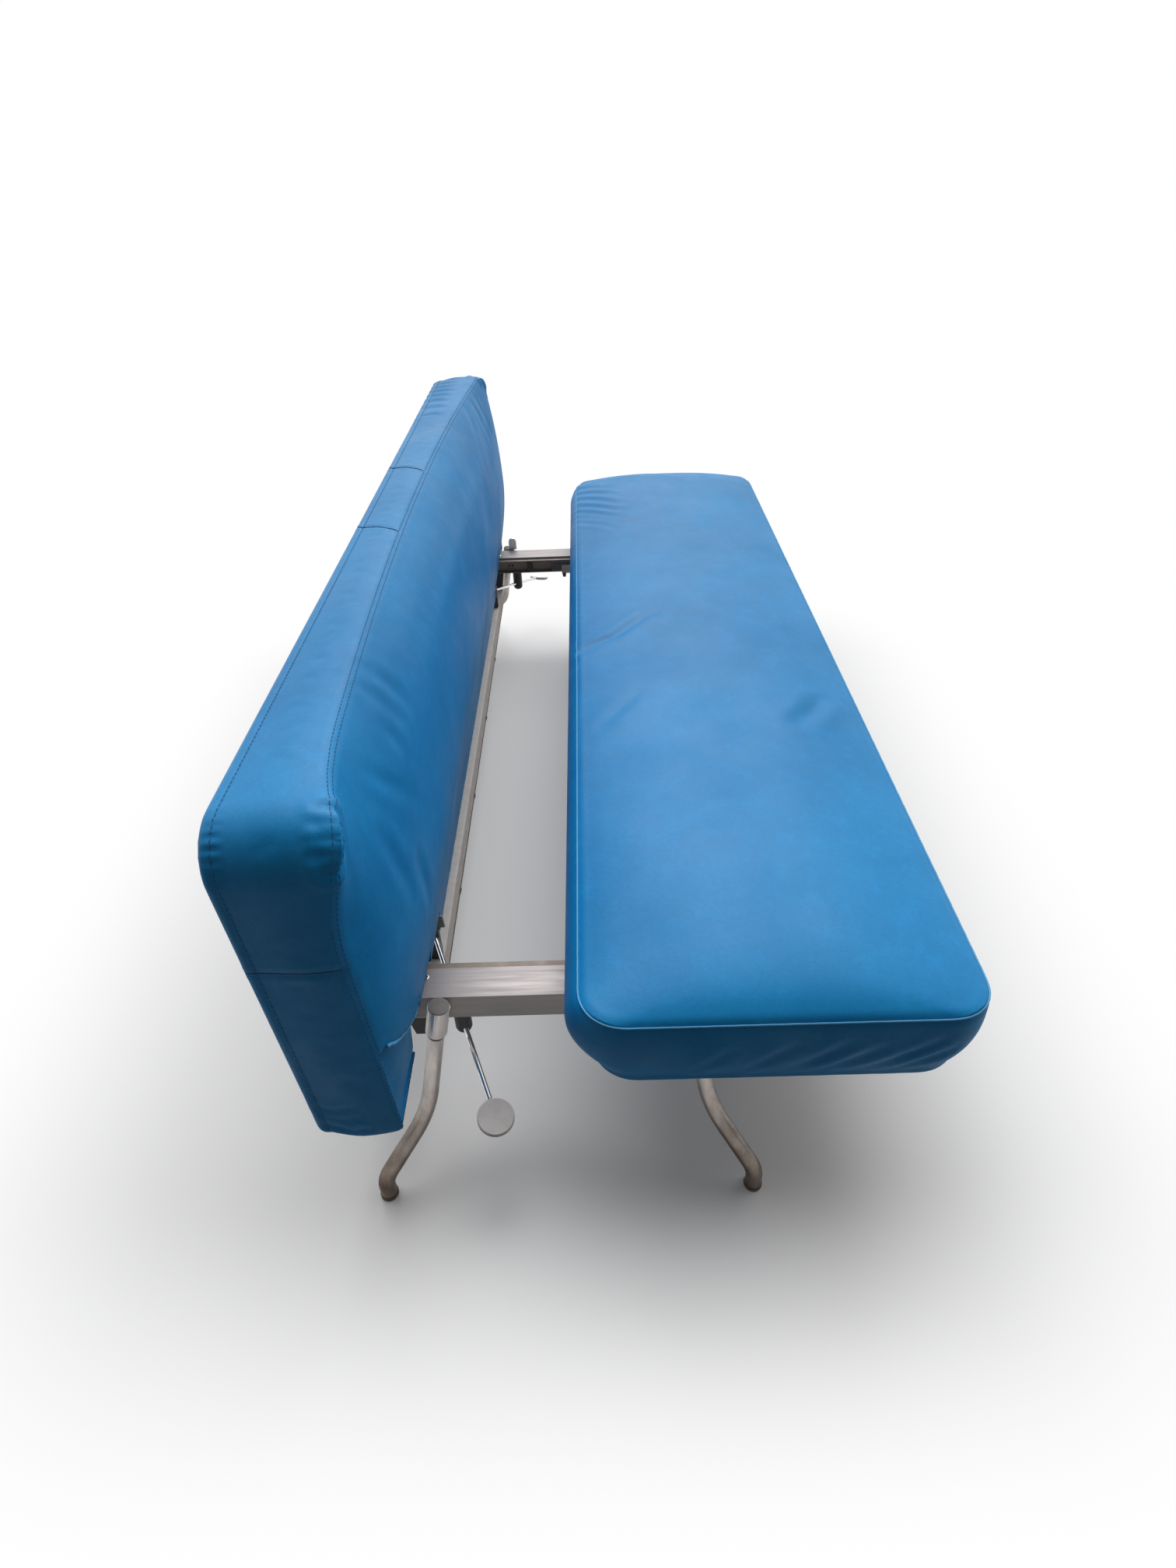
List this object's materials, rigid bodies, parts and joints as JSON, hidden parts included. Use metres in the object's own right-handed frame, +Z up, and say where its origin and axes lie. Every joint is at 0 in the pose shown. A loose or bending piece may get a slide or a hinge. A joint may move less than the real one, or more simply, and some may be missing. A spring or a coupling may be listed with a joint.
{
  "type": "convertible day couch",
  "caption": "Upholstered convertible couch: sliding seat and folding back on cross beams with bent tube legs and a pull-knob release rod under each beam.",
  "frame": {"origin": "on the floor, under the middle of the couch's bounding box in the pictured state", "axes": "+X along the couch's length, +Y towards the rear (behind the back), +Z up"},
  "size_m": [2.01, 0.9038, 0.7375],
  "materials": {
    "leatherette": "satin",
    "back_lining": "matte",
    "ply": "matte",
    "rail_beige": "matte",
    "satin_metal": "satin",
    "tube_metal": "satin",
    "bright_steel": "polished",
    "dark_steel": "satin",
    "black_plastic": "matte",
    "pale_plastic": "matte",
    "nylon": "satin"
  },
  "bodies": {
    "back": {"back_board": "back_lining", "back_cushion": "leatherette", "hinge_leaf_left": "dark_steel", "hinge_leaf_right": "dark_steel", "leaf_foot_left": "dark_steel", "leaf_foot_right": "dark_steel", "lock_plate_left": "satin_metal", "lock_plate_right": "satin_metal"},
    "frame": {"beam_cap_front_left": "black_plastic", "beam_cap_front_right": "black_plastic", "beam_cap_rear_left": "black_plastic", "beam_cap_rear_right": "black_plastic", "beam_left": "satin_metal", "beam_right": "satin_metal", "beam_screw_left": "bright_steel", "beam_screw_right": "bright_steel", "foot_glide_front_left": "black_plastic", "foot_glide_front_right": "black_plastic", "foot_glide_rear_left": "black_plastic", "foot_glide_rear_right": "black_plastic", "hinge_pin_left": "bright_steel", "hinge_pin_right": "bright_steel", "hinge_plate_left": "satin_metal", "hinge_plate_right": "satin_metal", "leg_collar_front_left": "tube_metal", "leg_collar_front_right": "tube_metal", "leg_collar_rear_left": "tube_metal", "leg_collar_rear_right": "tube_metal", "leg_front_left": "tube_metal", "leg_front_right": "tube_metal", "leg_rear_left": "tube_metal", "leg_rear_right": "tube_metal", "rod_bush_left": "black_plastic", "rod_bush_right": "black_plastic", "rod_guide_left": "black_plastic", "rod_guide_right": "black_plastic", "slide_channel_left": "dark_steel", "slide_channel_right": "dark_steel", "slide_stop_left": "black_plastic", "slide_stop_right": "black_plastic", "stretcher": "rail_beige", "stretcher_hanger_left": "black_plastic", "stretcher_hanger_right": "black_plastic"},
    "release_left": {"release_knob_left": "pale_plastic", "release_rod_left": "bright_steel"},
    "release_right": {"release_knob_right": "pale_plastic", "release_rod_right": "bright_steel"},
    "seat": {"runner_bumper_left": "black_plastic", "runner_bumper_right": "black_plastic", "seat_board": "ply", "seat_cushion": "leatherette", "seat_runner_left": "satin_metal", "seat_runner_right": "satin_metal", "slider_front_left": "nylon", "slider_front_right": "nylon", "slider_rear_left": "nylon", "slider_rear_right": "nylon"}
  },
  "joints": [
    {"name": "seat_slide", "type": "slide", "parent": "frame", "child": "seat", "axis": [0, 1, 0], "range_m": [0, 0.055]},
    {"name": "back_fold", "type": "hinge", "parent": "frame", "child": "back", "pos_m": [0, 0.33907, 0.399], "axis": [-1, 0, 0], "range_deg": [0, 87.2]},
    {"name": "release_left_pull", "type": "slide", "parent": "frame", "child": "release_left", "axis": [-0.8884, -0.3607, -0.284], "range_m": [0, 0.012], "stiffness_N_per_m": 400, "springref_m": -0.004},
    {"name": "release_right_pull", "type": "slide", "parent": "frame", "child": "release_right", "axis": [0.8884, -0.3607, -0.284], "range_m": [0, 0.012], "stiffness_N_per_m": 400, "springref_m": -0.004}
  ]
}
